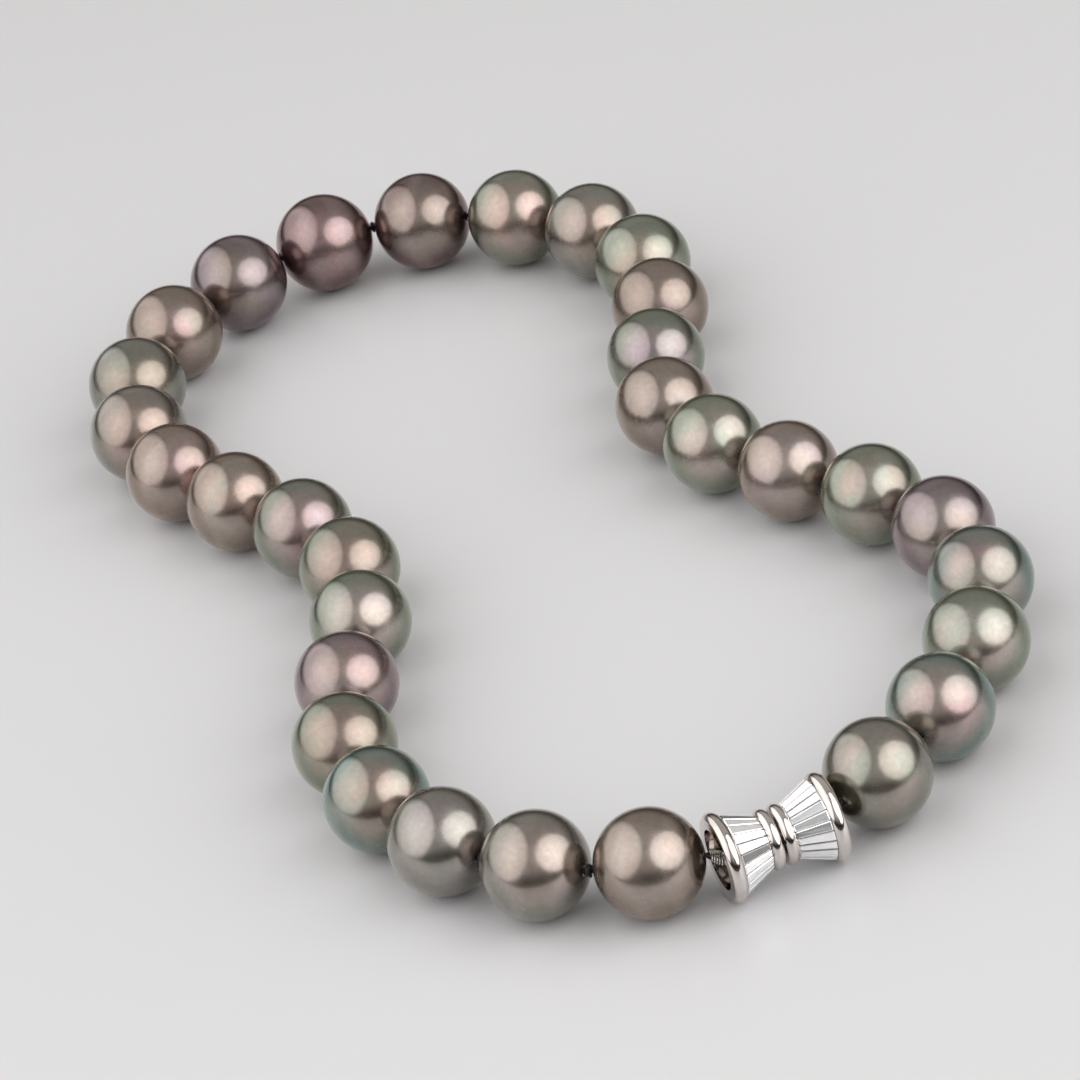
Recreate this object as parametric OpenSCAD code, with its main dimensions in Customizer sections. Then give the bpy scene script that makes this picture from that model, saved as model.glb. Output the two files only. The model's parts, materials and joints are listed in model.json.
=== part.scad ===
// Knotted pearl necklace: 31 graduated drilled pearls on one silk thread, closed by an
// hourglass clasp set with baguette stones. It lies flat in a loop on z = 0.
// Millimetres, +Z up, origin at the middle of the loop's footprint.

/* [Pearls] */
// Diameter of the pearls beside the clasp
end_pearl_d = 12.6; // [8:0.1:13.5]
// Diameter of the largest pearl, at the middle of the strand
centre_pearl_d = 14.2; // [8:0.1:18]
// How fast the sizes fall away from the middle pearl
graduation = 2.0; // [1:0.1:4]
// Diameter of the hole drilled through each pearl
drill_d = 1.0; // [0.8:0.05:1.4]

/* [Silk] */
// Diameter of the silk thread
silk_d = 0.6; // [0.4:0.05:0.7]
// Length of silk left between two pearls
knot_gap = 1.0; // [0.8:0.05:1.6]
// Diameter of the knots
knot_d = 1.7; // [1.4:0.05:2]
// Length of the knots along the thread
knot_len = 0.66; // [0.5:0.02:0.7]

/* [French wire] */
// Outer diameter of the wire coil that guards the thread at the clasp
gimp_d = 0.9; // [0.8:0.02:1]
// Free length between the socket's rim and the first pearl
socket_gap = 1.2; // [0.8:0.1:2]
// Free length between the plug's rim and the last pearl
plug_gap = 1.4; // [0.8:0.1:2]

/* [Clasp] */
// Diameter of the rims at the clasp's two ends
rim_d = 10.5; // [9:0.1:12]
// Width of each rim
rim_w = 1.6; // [1.2:0.1:2.4]
// Height of the rim's rounded crown
rim_crown = 0.45; // [0.2:0.05:0.6]
// Diameter of the two rings at the waist
waist_d = 7.2; // [6.6:0.1:8.4]
// Width of each waist ring
waist_w = 1.4; // [1.1:0.1:2]
// Height of the waist ring's rounded crown
waist_crown = 0.4; // [0.2:0.05:0.5]
// Length of each stone-set cone along the clasp
cone_len = 3.9; // [3:0.1:6]
// Gap between the two halves when the clasp is shut
parting_gap = 0.24; // [0.1:0.02:0.5]
// Wall of the gold cone under the stones
cone_wall = 0.45; // [0.3:0.05:0.6]
// Thickness of the plate across each open end
plate_t = 0.5; // [0.4:0.1:0.8]
// Depth of the plate below the rim's end face
plate_depth = 2.1; // [1.9:0.1:2.5]

/* [Baguettes] */
// Number of tapered baguette stones round each half
stones = 24; // [18:1:28]
// Depth of a stone from its table to its keel
stone_depth = 0.75; // [0.5:0.05:0.9]
// Gap between neighbouring stones
stone_gap = 0.05; // [0.02:0.01:0.1]

/* [Catch] */
// Diameter of the plug's pin
pin_d = 2.0; // [1.8:0.05:2.2]
// Length of pin beyond the plug's parting face
pin_len = 4.3; // [3.6:0.1:4.8]
// Radial clearance of the pin in its bush
pin_fit = 0.06; // [0.03:0.01:0.1]
// Wire diameter of the snap ring
snap_d = 0.4; // [0.3:0.02:0.5]
// How far the snap ring grips below the pin's surface
snap_grip = 0.12; // [0.08:0.01:0.2]
// Distance of the snap ring from the parting line
snap_at = 2.4; // [2:0.1:3]

/* [Eyelets] */
// Wire diameter of the eyelets
eye_wire_d = 0.7; // [0.6:0.05:0.8]
// Clearance between the coil and the eyelet or plate it passes
eye_fit = 0.12; // [0.05:0.01:0.2]

/* [Hidden] */
pearl_count = 31;
middle_pearl = (pearl_count + 1) / 2;
fine = 72;
medium = 40;

// Half the clasp, from the parting line to a rim's end face
half_len = parting_gap / 2 + waist_w + cone_len + rim_w;

// Loop that the strand lies along, clockwise from the clasp. It is scaled to the strand's length.
ROUTE = [
    [17, -86], [3, -86], [-10, -81], [-19, -72], [-26, -60], [-29, -46], [-27, -32], [-23, -18],
    [-24, -4], [-30, 9], [-39, 19], [-46, 31], [-50, 44], [-50, 58], [-43, 71], [-33, 82],
    [-19, 88], [-4, 86], [10, 79], [20, 67], [24, 54], [24, 41], [20, 27], [19, 13],
    [25, 0], [33, -11], [42, -21], [48, -32], [50, -45], [46, -58], [39, -70], [30, -80]
];
steps = 12;

function pearl_d(i) = end_pearl_d + (centre_pearl_d - end_pearl_d)
    * pow(1 - abs(i - middle_pearl) / (middle_pearl - 1), graduation);
function pearl_r(i) = pearl_d(min(max(i, 1), pearl_count)) / 2;

// Closed smooth curve through the route's points
function route_point(i) = ROUTE[(i + len(ROUTE)) % len(ROUTE)];
function smooth(p, q, r, s, t) = (2 * q + (r - p) * t + (2 * p - 5 * q + 4 * r - s) * t * t
    + (3 * q - p - 3 * r + s) * t * t * t) / 2;
function curve_point(i) = smooth(route_point(floor(i / steps) - 1), route_point(floor(i / steps)),
    route_point(floor(i / steps) + 1), route_point(floor(i / steps) + 2), (i % steps) / steps);
CURVE = [for (i = [0 : steps * len(ROUTE)]) curve_point(i)];
RUN = [for (i = 0, s = 0; i < len(CURVE);
    i = i + 1, s = i < len(CURVE) ? s + norm(CURVE[i] - CURVE[i - 1]) : s) s];
ALONG_X = [for (i = [0 : len(CURVE) - 1]) [RUN[i], CURVE[i].x]];
ALONG_Y = [for (i = [0 : len(CURVE) - 1]) [RUN[i], CURVE[i].y]];

// Distances along the strand of the bends: one between every two pearls, one at each end
socket_run = half_len + socket_gap - knot_gap / 2;
plug_run = half_len + plug_gap - knot_gap / 2;
BEND_AT = [for (i = 0, s = socket_run; i <= pearl_count; i = i + 1, s = s + pearl_d(i) + knot_gap) s];
strand_len = BEND_AT[pearl_count] + plug_run;
route_scale = strand_len / RUN[len(RUN) - 1];
function on_loop(s) = route_scale * [lookup(s / route_scale, ALONG_X), lookup(s / route_scale, ALONG_Y)];
LOOP_BENDS = [for (s = BEND_AT) on_loop(s)];
function loop_pearl(i) = (LOOP_BENDS[i - 1] + LOOP_BENDS[i]) / 2;

// Clasp on the straight line between the end bends
clasp_way = (LOOP_BENDS[pearl_count] - LOOP_BENDS[0]) / norm(LOOP_BENDS[pearl_count] - LOOP_BENDS[0]);
clasp_turn = atan2(clasp_way.y, clasp_way.x);
loop_clasp = LOOP_BENDS[0] + clasp_way * socket_run;

// The footprint's middle becomes the origin
LEFTS = [for (i = [1 : pearl_count]) loop_pearl(i).x - pearl_r(i)];
RIGHTS = [for (i = [1 : pearl_count]) loop_pearl(i).x + pearl_r(i)];
FRONTS = [for (i = [1 : pearl_count]) loop_pearl(i).y - pearl_r(i)];
BACKS = [for (i = [1 : pearl_count]) loop_pearl(i).y + pearl_r(i)];
rim_reach = rim_d / 2 * cos(clasp_turn);
rim_front = loop_clasp.y - half_len * abs(sin(clasp_turn)) - rim_reach;
footprint_middle = [(min(LEFTS) + max(RIGHTS)) / 2, (min(min(FRONTS), rim_front) + max(BACKS)) / 2];
function lift(p, z) = [p.x - footprint_middle.x, p.y - footprint_middle.y, z];
BENDS = [for (i = [0 : pearl_count]) lift(LOOP_BENDS[i], (pearl_r(i) + pearl_r(i + 1)) / 2)];
function pearl_centre(i) = lift(loop_pearl(i), pearl_r(i));
function pearl_way(i) = (BENDS[i] - BENDS[i - 1]) / norm(BENDS[i] - BENDS[i - 1]);
clasp_centre = lift(loop_clasp, rim_d / 2);

// Clasp half, measured outward from the parting line
waist_start = parting_gap / 2;
cone_start = waist_start + waist_w;
rim_start = cone_start + cone_len;
stone_top_r1 = waist_d / 2 - waist_crown - 0.05;
stone_top_r2 = rim_d / 2 - rim_crown - 0.05;
cone_out_r1 = stone_top_r1 - stone_depth;
cone_out_r2 = stone_top_r2 - stone_depth;
cone_in_r1 = cone_out_r1 - cone_wall;
cone_in_r2 = cone_out_r2 - cone_wall;
plate_top = half_len - plate_depth;
function cone_in_r(z) = cone_in_r1 + (cone_in_r2 - cone_in_r1) * (z - cone_start) / cone_len;

// Bush and pin
bush_bore_r = pin_d / 2 + pin_fit;
bush_r = cone_in_r1;
bush_len = plate_top - waist_start;
snap_r = pin_d / 2 - snap_grip + snap_d / 2;
snap_room = 0.05;

// Eyelet on the plate, its loop in the upright plane through the clasp's axis
eye_bend_r = (gimp_d + 2 * eye_fit + eye_wire_d) / 2;
eye_leg = gimp_d + 2 * eye_fit + eye_wire_d / 2 - eye_bend_r;
eye_at = plate_top + eye_leg + eye_bend_r;

// Coil of French wire, one closed bight round each eyelet's outer bar
gimp_in_d = silk_d + 0.06;
bight_r = eye_wire_d / 2 + eye_fit + gimp_d / 2;
mouth_side = gimp_d / 2 + 0.02;
mouth_gap = 0.45;
leg_depth = 0.3;

PEARL_NODES = [for (i = [1 : pearl_count]) str("pearl_", i < 10 ? "0" : "", i)];

// Turns children built along +Z to point along a direction
module along(way) {
    rotate([0, 0, atan2(way.y, way.x)])
        rotate([0, acos(way.z / norm(way)), 0])
            children();
}

// Places a clasp half built along +Z: side -1 is the socket, side 1 is the plug
module clasp_half(side) {
    translate(clasp_centre)
        rotate([0, 0, clasp_turn])
            rotate([0, side * 90, 0])
                children();
}

// Points of a tube's rings along a path, each ring square to the path and level with the up vector
function path_way(path, i) = path[min(i + 1, len(path) - 1)] - path[max(i - 1, 0)];
function ring_points(centre, way, up, r, sides) =
    let (side = cross(up, way) / norm(cross(up, way)), rise = cross(way, side) / norm(way))
    [for (k = [0 : sides - 1])
        centre + r * (cos(360 * k / sides) * side + sin(360 * k / sides) * rise)];
function tube_points(path, up, r, sides) =
    [for (i = [0 : len(path) - 1], p = ring_points(path[i], path_way(path, i), up, r, sides)) p];

// Triangles between neighbouring rings, the first ring's points starting at number base
function walls(rings, sides, base) = [for (i = [0 : rings - 2], k = [0 : sides - 1], half = [0, 1])
    let (a = base + i * sides + k, b = base + i * sides + (k + 1) % sides)
    half == 0 ? [a, b + sides, b] : [a, a + sides, b + sides]];
function inside_out(faces) = [for (f = faces) [f[0], f[2], f[1]]];

module tube(path, up, r, sides) {
    last = (len(path) - 1) * sides;
    first_end = [for (k = [1 : sides - 2]) [0, k, k + 1]];
    last_end = [for (k = [1 : sides - 2]) [last, last + k + 1, last + k]];
    polyhedron(tube_points(path, up, r, sides), concat(walls(len(path), sides, 0), first_end, last_end),
        convexity = 8);
}

module pipe(path, up, r, hole_r, sides) {
    count = len(path) * sides;
    last = count - sides;
    first_end = [for (k = [0 : sides - 1], half = [0, 1])
        let (b = (k + 1) % sides) half == 0 ? [k, b, count + k] : [b, count + b, count + k]];
    last_end = [for (k = [0 : sides - 1], half = [0, 1])
        let (a = last + k, b = last + (k + 1) % sides)
        half == 0 ? [a, count + a, b] : [b, count + a, count + b]];
    polyhedron(concat(tube_points(path, up, r, sides), tube_points(path, up, hole_r, sides)),
        concat(walls(len(path), sides, 0), inside_out(walls(len(path), sides, count)), first_end, last_end),
        convexity = 8);
}

// The bight round an eyelet: level round the bar, then rising to the pearl's hole
function hole_side(side) = side < 0 ? 1 : pearl_count;
function eye(side) = clasp_centre + side * eye_at * [clasp_way.x, clasp_way.y, 0];
function mouth(side) = pearl_centre(hole_side(side))
    + side * pearl_r(hole_side(side)) * pearl_way(hole_side(side));
function level(v) = [v.x, v.y, 0];
function reach(side) = norm(level(mouth(side) - eye(side)));
function out(side) = level(mouth(side) - eye(side)) / reach(side);
function flank(side) = cross([0, 0, 1], out(side));
function rise(side) = (mouth(side).z - eye(side).z) / reach(side);
function bight_path(side, steps2d) = [for (p = steps2d)
    eye(side) + p.x * out(side) + p.y * flank(side) + [0, 0, max(p.x, 0) * rise(side)]];
function bight_arc(from, to) = [for (a = [from : 16 : to]) [-bight_r * cos(a), bight_r * sin(a)]];

module pearl(i) {
    color("dimgray")
        translate(pearl_centre(i))
            along(pearl_way(i))
                difference() {
                    sphere(r = pearl_r(i), $fn = fine);
                    cylinder(d = drill_d, h = 3 * pearl_r(i), center = true, $fn = 24);
                }
}

module knot(i) {
    translate(BENDS[i])
        along(BENDS[min(i + 1, pearl_count)] - BENDS[i - 1])
            rotate_extrude($fn = 10)
                translate([(knot_d - knot_len) / 2, 0])
                    circle(d = knot_len, $fn = 6);
}

// One thread: through every pearl and knot, and round the eyelet at each end
module silk_thread() {
    inner = [for (i = [1 : pearl_count - 1], p = [BENDS[i], pearl_centre(i + 1)]) p];
    start = pearl_centre(1) - pearl_way(1) * (pearl_r(1) - leg_depth / 2);
    finish = pearl_centre(pearl_count) + pearl_way(pearl_count) * (pearl_r(pearl_count) - leg_depth / 2);
    color("black") {
        tube(concat([start, pearl_centre(1)], inner, [finish]), [0, 0, 1], silk_d / 2, 8);
        for (i = [1 : pearl_count - 1]) knot(i);
        for (side = [-1, 1], flank_side = [-1, 1]) {
            leg = [[reach(side) - mouth_gap, mouth_side], [reach(side), 0.15], [reach(side) + leg_depth, 0.12]];
            turned = [for (p = concat(bight_arc(-8, 104), leg)) [p.x, flank_side * p.y]];
            tube(bight_path(side, turned), flank_side * cross(out(side), flank(side)), silk_d / 2 - 0.03, 8);
        }
    }
}

module gimp(side) {
    leg = reach(side) - mouth_gap;
    path = concat([[leg, -mouth_side]], bight_arc(-104, 104), [[leg, mouth_side]]);
    color("silver")
        pipe(bight_path(side, path), cross(out(side), flank(side)), gimp_d / 2, gimp_in_d / 2, 8);
}

// Ring with a crowned outside, from height z
module crowned_ring(d, w, crown, hole_r, z) {
    crown_r = (w * w / 4 + crown * crown) / (2 * crown);
    rotate_extrude($fn = fine)
        intersection() {
            translate([hole_r, z])
                square([d / 2 - hole_r, w]);
            union() {
                translate([0, z])
                    square([d / 2 - crown, w]);
                translate([d / 2 - crown_r, z + w / 2])
                    circle(r = crown_r, $fn = fine);
            }
        }
}

module rim(side) {
    color("gainsboro")
        clasp_half(side)
            crowned_ring(rim_d, rim_w, rim_crown, cone_in_r2, rim_start);
}

module waist_ring(side) {
    color("gainsboro")
        clasp_half(side)
            crowned_ring(waist_d, waist_w, waist_crown, bush_r, waist_start);
}

// Gold seat under the stones
module cone(side) {
    color("silver")
        clasp_half(side)
            rotate_extrude($fn = fine)
                polygon([[cone_in_r1, cone_start], [cone_out_r1, cone_start],
                    [cone_out_r2, rim_start], [cone_in_r2, rim_start]]);
}

// Tapered baguette: table, two long and two end steps, girdle, and a keel along its length
module baguette() {
    turn = 180 / stones;
    clear = 0.03;
    z1 = cone_start + clear;
    z2 = rim_start - clear;
    half1 = (stone_top_r1 - 0.2) * sin(turn) - stone_gap / 2;
    half2 = (stone_top_r2 - 0.2) * sin(turn) - stone_gap / 2;
    side_in = 0.24;
    end_in = 0.25;
    drop = 0.2;
    base = stone_depth - clear;
    slope = (stone_top_r2 - stone_top_r1) / cone_len;
    mid = slope * end_in;
    polyhedron(
        [[stone_top_r1 + mid, side_in - half1, z1 + end_in], [stone_top_r1 + mid, half1 - side_in, z1 + end_in],
            [stone_top_r2 - mid, half2 - side_in, z2 - end_in], [stone_top_r2 - mid, side_in - half2, z2 - end_in],
            [stone_top_r1 - drop, -half1, z1], [stone_top_r1 - drop, half1, z1],
            [stone_top_r2 - drop, half2, z2], [stone_top_r2 - drop, -half2, z2],
            [stone_top_r1 - base, 0, z1], [stone_top_r2 - base, 0, z2]],
        [[3, 2, 1, 0], [0, 1, 5, 4], [1, 2, 6], [1, 6, 5], [2, 3, 7, 6], [3, 0, 4], [3, 4, 7],
            [4, 5, 8], [5, 6, 9], [5, 9, 8], [6, 7, 9], [7, 4, 8], [7, 8, 9]]);
}

module baguettes(side) {
    color("white")
        clasp_half(side)
            for (k = [0 : stones - 1])
                rotate([0, 0, 360 * (k + 0.5) / stones])
                    baguette();
}

module end_plate(side) {
    color("silver")
        clasp_half(side)
            difference() {
                translate([0, 0, plate_top - plate_t])
                    cylinder(r1 = cone_in_r(plate_top - plate_t), r2 = cone_in_r(plate_top),
                        h = plate_t, $fn = fine);
                if (side < 0)
                    cylinder(r = bush_r, h = half_len, $fn = fine);
            }
}

// Staple of round wire on the plate, standing in the upright plane
module eyelet(side) {
    color("gainsboro")
        clasp_half(side) {
            translate([0, 0, plate_top + eye_leg])
                rotate([90, 0, 0])
                    rotate_extrude(angle = 180, $fn = medium)
                        translate([eye_bend_r, 0])
                            circle(d = eye_wire_d, $fn = medium);
            for (x = [-eye_bend_r, eye_bend_r])
                translate([x, 0, plate_top])
                    cylinder(d = eye_wire_d, h = eye_leg, $fn = medium);
        }
}

// Sleeve that takes the pin, grooved inside for the snap ring, closed at its far end
module socket_bush() {
    groove_r = snap_r + snap_d / 2 + 2 * snap_room;
    groove_w = snap_d + 2 * snap_room;
    color("silver")
        clasp_half(-1)
            difference() {
                translate([0, 0, waist_start])
                    cylinder(r = bush_r, h = bush_len, $fn = fine);
                cylinder(r = bush_bore_r, h = waist_start + bush_len - 0.3, $fn = fine);
                translate([0, 0, snap_at - groove_w / 2])
                    cylinder(r = groove_r, h = groove_w, $fn = fine);
            }
}

module snap_ring() {
    color("gold")
        clasp_half(-1)
            translate([0, 0, snap_at])
                rotate([0, 0, 30])
                    rotate_extrude(angle = 300, $fn = medium)
                        translate([snap_r, 0])
                            circle(d = snap_d, $fn = medium);
}

// Grooved pin with a rounded nose, on a collar that fills the plug's waist ring
module plug_pin() {
    groove_w = snap_d + 2 * snap_room;
    nose_r = 0.5;
    tip = parting_gap / 2 + pin_len;
    color("silver")
        clasp_half(1)
            rotate_extrude($fn = fine)
                difference() {
                    union() {
                        translate([0, nose_r - pin_len])
                            square([pin_d / 2, pin_len - nose_r + cone_start]);
                        translate([0, -pin_len])
                            square([pin_d / 2 - nose_r, nose_r]);
                        translate([pin_d / 2 - nose_r, nose_r - pin_len])
                            circle(r = nose_r, $fn = fine);
                        translate([0, waist_start])
                            square([bush_r, waist_w + 0.6]);
                    }
                    translate([-pin_d, -tip])
                        square([pin_d, 2 * tip]);
                    translate([snap_r - snap_d / 2 - snap_room, -snap_at - groove_w / 2])
                        square([snap_d, groove_w]);
                }
}

for (i = [1 : pearl_count])
    pearl(i);
silk_thread();
gimp(-1);  // socket_gimp
gimp(1);  // plug_gimp
rim(-1);  // socket_rim
waist_ring(-1);  // socket_waist_ring
cone(-1);  // socket_cone
baguettes(-1);  // socket_baguettes
end_plate(-1);  // socket_end_plate
eyelet(-1);  // socket_eyelet
socket_bush();
snap_ring();
rim(1);  // plug_rim
waist_ring(1);  // plug_waist_ring
cone(1);  // plug_cone
baguettes(1);  // plug_baguettes
end_plate(1);  // plug_end_plate
eyelet(1);  // plug_eyelet
plug_pin();
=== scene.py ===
# %% [markdown]
# A knotted pearl necklace
#
# A strand of 31 dark drilled pearls on one silk thread, with a knot between every two pearls, so that none
# rubs its neighbour and none rolls away if the silk breaks. A gold clasp in the shape of an hourglass closes
# it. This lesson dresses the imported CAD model: every piece is a surface worked out with numpy, or a CAD node
# with a better material, and everything is in metres in the frame that the CAD model brings with it.

# %% Frame
import json

import bpy
import numpy as np
from mathutils import Matrix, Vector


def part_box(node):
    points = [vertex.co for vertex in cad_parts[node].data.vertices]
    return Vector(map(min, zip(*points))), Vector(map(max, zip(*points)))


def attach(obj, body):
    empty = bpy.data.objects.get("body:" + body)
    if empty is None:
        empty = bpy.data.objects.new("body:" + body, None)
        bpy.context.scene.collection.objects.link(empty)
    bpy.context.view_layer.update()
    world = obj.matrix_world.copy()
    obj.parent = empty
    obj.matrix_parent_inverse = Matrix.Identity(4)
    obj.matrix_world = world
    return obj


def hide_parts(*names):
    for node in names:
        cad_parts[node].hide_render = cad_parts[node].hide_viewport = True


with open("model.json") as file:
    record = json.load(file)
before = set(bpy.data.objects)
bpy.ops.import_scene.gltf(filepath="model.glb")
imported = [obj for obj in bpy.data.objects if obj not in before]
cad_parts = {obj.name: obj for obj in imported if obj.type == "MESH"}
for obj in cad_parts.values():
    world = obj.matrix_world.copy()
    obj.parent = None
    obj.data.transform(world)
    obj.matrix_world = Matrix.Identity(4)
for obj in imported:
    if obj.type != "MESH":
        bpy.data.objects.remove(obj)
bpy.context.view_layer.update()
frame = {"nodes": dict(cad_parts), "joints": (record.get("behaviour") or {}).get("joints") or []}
MM = 0.001
PEARLS, MIDDLE = 31, 16

# %% [markdown]
# The camera
#
# A jewel is shot from further off with a long lens, so that near and far pearls keep their true sizes. This
# one is a 140 mm lens half a metre away, looking down by 30 degrees and rolled a little. The rotation is
# written as the camera's right, up and back directions, which is easier to trust than three angles.

# %% Camera
CAMERA_AT = np.array([0.183, -467.64, 268.92]) * MM
CAMERA_RIGHT = (0.96930793, -0.12276576, -0.21300402)
CAMERA_UP = (0.24584984, 0.48402644, 0.83980728)
CAMERA_BACK = (0.0, -0.86639885, 0.49935261)
LENS_MM, SENSOR_MM = 140, 36


def place_camera():
    """A camera whose matrix has the right, up and back directions as its columns."""
    data = bpy.data.cameras.new("camera")
    data.lens = LENS_MM
    data.sensor_width = SENSOR_MM
    data.clip_start = 0.01
    data.clip_end = 50
    camera = bpy.data.objects.new("camera", data)
    bpy.context.scene.collection.objects.link(camera)
    pose = np.eye(4)
    pose[:3, :3] = np.array([CAMERA_RIGHT, CAMERA_UP, CAMERA_BACK]).T
    pose[:3, 3] = CAMERA_AT
    camera.matrix_world = Matrix(pose.tolist())
    return camera


bpy.context.scene.camera = place_camera()
bpy.context.scene.view_settings.view_transform = "Standard"
print("camera, mm:", CAMERA_AT / MM)

# %% [markdown]
# Helpers for surfaces
#
# Two shapes cover nearly the whole necklace. A profile turned about an axis makes a pearl, and a circle
# carried along a path makes thread and wire. Both are a grid of points whose neighbours join in four-sided
# faces. The grid is one numpy array, so there is no loop over points.

# %% Grid to mesh
def unit(v):
    """v divided by its length, along the last axis."""
    v = np.asarray(v, float)
    return v / np.linalg.norm(v, axis=-1, keepdims=True)


def grid_faces(rows, cols, close_rows, close_cols=True):
    """Corner numbers of the four-sided faces of a grid, row after row, joined round where it closes."""
    i = np.arange(rows if close_rows else rows - 1)[:, None]
    j = np.arange(cols if close_cols else cols - 1)[None, :]
    i2, j2 = (i + 1) % rows, (j + 1) % cols
    return np.stack([i * cols + j, i * cols + j2, i2 * cols + j2, i2 * cols + j], -1).reshape(-1, 4)


def make_piece(name, points, faces, body, material, replaces=(), smooth=True, caps=()):
    """A mesh object from an array of points and an array of four-sided faces, riding on a body."""
    mesh = bpy.data.meshes.new(name)
    mesh.from_pydata(points.tolist(), [], faces.tolist() + [list(c) for c in caps])
    mesh.polygons.foreach_set("use_smooth", np.full(len(mesh.polygons), smooth))
    mesh.materials.append(material)
    mesh.update()
    piece = bpy.data.objects.new(name, mesh)
    bpy.context.scene.collection.objects.link(piece)
    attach(piece, body)
    if replaces:
        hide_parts(*replaces)
    return piece


def add_uv(mesh, uv_of_point):
    """A UV map from one (u, v) for each point, given to all its corners."""
    corner_point = np.zeros(len(mesh.loops), int)
    mesh.loops.foreach_get("vertex_index", corner_point)
    layer = mesh.uv_layers.new(name="UVMap")
    layer.data.foreach_set("uv", uv_of_point[corner_point].astype(np.float32).ravel())


print("faces of a 3 by 4 grid, closed one way:", len(grid_faces(3, 4, False)))

# %% Tubes
UPRIGHT_START = (0.02, 0.05, 1.0)


def run_along(path):
    """Distance along a path to each of its points."""
    return np.concatenate([[0], np.cumsum(np.linalg.norm(np.diff(path, axis=0), axis=1))])


def path_frames(path, closed):
    """At each point of a path: the way it goes, and two directions square to it. The second starts from
    upright and is turned as little as possible, by taking away its part along the path at every step."""
    ahead, behind = np.roll(path, -1, 0), np.roll(path, 1, 0)
    if not closed:
        ahead[-1], behind[0] = path[-1], path[0]
    way = unit(ahead - behind)
    side = np.empty_like(way)
    last = np.array(UPRIGHT_START)
    for k, w in enumerate(way):
        last = unit(last - w * np.dot(last, w))
        side[k] = last
    return way, side, np.cross(way, side)


def tube(path, radius, sides, closed=False):
    """Points and faces of a tube: path + radius * (cos a * side + sin a * cross), a going once round."""
    _, side, cross = path_frames(path, closed)
    a = np.arange(sides) * 2 * np.pi / sides
    ring = np.cos(a)[None, :, None] * side[:, None] + np.sin(a)[None, :, None] * cross[:, None]
    points = (path[:, None] + radius * ring).reshape(-1, 3)
    caps = [] if closed else [
        list(range(sides))[::-1], list(range(len(points) - sides, len(points)))]
    return points, grid_faces(len(path), sides, closed), caps


def tube_uv(path, sides, turn_length):
    """u counts turns of twist along the path, v goes once round."""
    u = np.repeat(run_along(path) / turn_length, sides)
    return np.stack([u, np.tile(np.arange(sides) / sides, len(path))], -1)


def join(parts):
    """Several (points, faces, caps) as one."""
    points, faces, caps, base = [], [], [], 0
    for p, f, c in parts:
        points.append(p)
        faces.append(f + base)
        caps += [[k + base for k in cap] for cap in c]
        base += len(p)
    return np.concatenate(points), np.concatenate(faces), caps


print("UV rows of a 3-point tube with 4 sides:", len(tube_uv(np.eye(3), 4, 1.0)))

# %% [markdown]
# Node groups for the finishes
#
# A finish that several materials share is a group, built once. Its inputs are what differs from material to
# material, and it puts out a colour, a roughness and a height; the nacre group also puts out a painted rim
# sheen colour.
#
# Nacre is thousands of thin crystal layers. They mirror the light softly and tint it, and where the layers
# end they leave faint growth rings about the drilled axis and cloudy zones where another overtone shows.
# The group mixes three tints: a body colour, an overtone in large soft clouds, and a second overtone in
# bands across the axis. The pearl's own unit place (an attribute) carries the pattern, so it turns with it.
# Pearls also have an orient: seen edge on, the layers throw back another colour. Here it is a painted rim
# sheen, a darker tinted rim colour painted into the base colour, which a Layer Weight node blends in where
# the skin turns away.

# %% Group tools
def new_group(name, inputs, outputs):
    """A shader node group with named sockets, and the nodes that hold its inputs and outputs."""
    group = bpy.data.node_groups.new(name, "ShaderNodeTree")
    for kind, label, value in inputs:
        socket = group.interface.new_socket(label, in_out="INPUT", socket_type=kind)
        if value is not None:
            socket.default_value = value
    for kind, label in outputs:
        group.interface.new_socket(label, in_out="OUTPUT", socket_type=kind)
    return group, group.nodes.new("NodeGroupInput"), group.nodes.new("NodeGroupOutput")


def noise(tree, vector, scale, detail=2.0, rough=0.5, distortion=0.0):
    """A Noise Texture node read at vector; its Fac output."""
    n = tree.nodes.new("ShaderNodeTexNoise")
    n.inputs["Scale"].default_value = scale
    n.inputs["Detail"].default_value = detail
    n.inputs["Roughness"].default_value = rough
    n.inputs["Distortion"].default_value = distortion
    tree.links.new(vector, n.inputs["Vector"])
    return n.outputs["Fac"]


def math(tree, operation, a, b=0.5, c=0.5):
    """A Math node; a, b and c are sockets or numbers."""
    n = tree.nodes.new("ShaderNodeMath")
    n.operation = operation
    for k, v in enumerate((a, b, c)):
        if isinstance(v, (int, float)):
            n.inputs[k].default_value = v
        else:
            tree.links.new(v, n.inputs[k])
    return n.outputs[0]


def remap(tree, value, from_low, from_high, to_low, to_high):
    """A smooth Map Range node."""
    n = tree.nodes.new("ShaderNodeMapRange")
    n.interpolation_type = "SMOOTHSTEP"
    for label, v in zip(("From Min", "From Max", "To Min", "To Max"), (from_low, from_high, to_low, to_high)):
        if isinstance(v, (int, float)):
            n.inputs[label].default_value = v
        else:
            tree.links.new(v, n.inputs[label])
    tree.links.new(value, n.inputs["Value"])
    return n.outputs["Result"]


def mix_colours(tree, factor, a, b):
    """A Mix node for colours; factor, a and b are sockets or values."""
    n = tree.nodes.new("ShaderNodeMix")
    n.data_type = "RGBA"
    for k, v in ((0, factor), (6, a), (7, b)):
        if hasattr(v, "is_output"):
            tree.links.new(v, n.inputs[k])
        else:
            n.inputs[k].default_value = v
    return n.outputs[2]


print("node helpers:", noise.__name__, math.__name__, remap.__name__, mix_colours.__name__)


# %% Nacre group
CLOUD_SCALE, WANDER_SCALE, GRAIN_SCALE = 0.9, 1.4, 9.0
RING_RATE, RING_WANDER = 9.0, 0.5
# How much of the cloud tint the bands put into the painted rim sheen.
PAINTED_SHEEN_BAND = 0.35
WAVE_SCALE, FINE_SCALE, FINE_HEIGHT = 2.6, 16.0, 0.03


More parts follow.
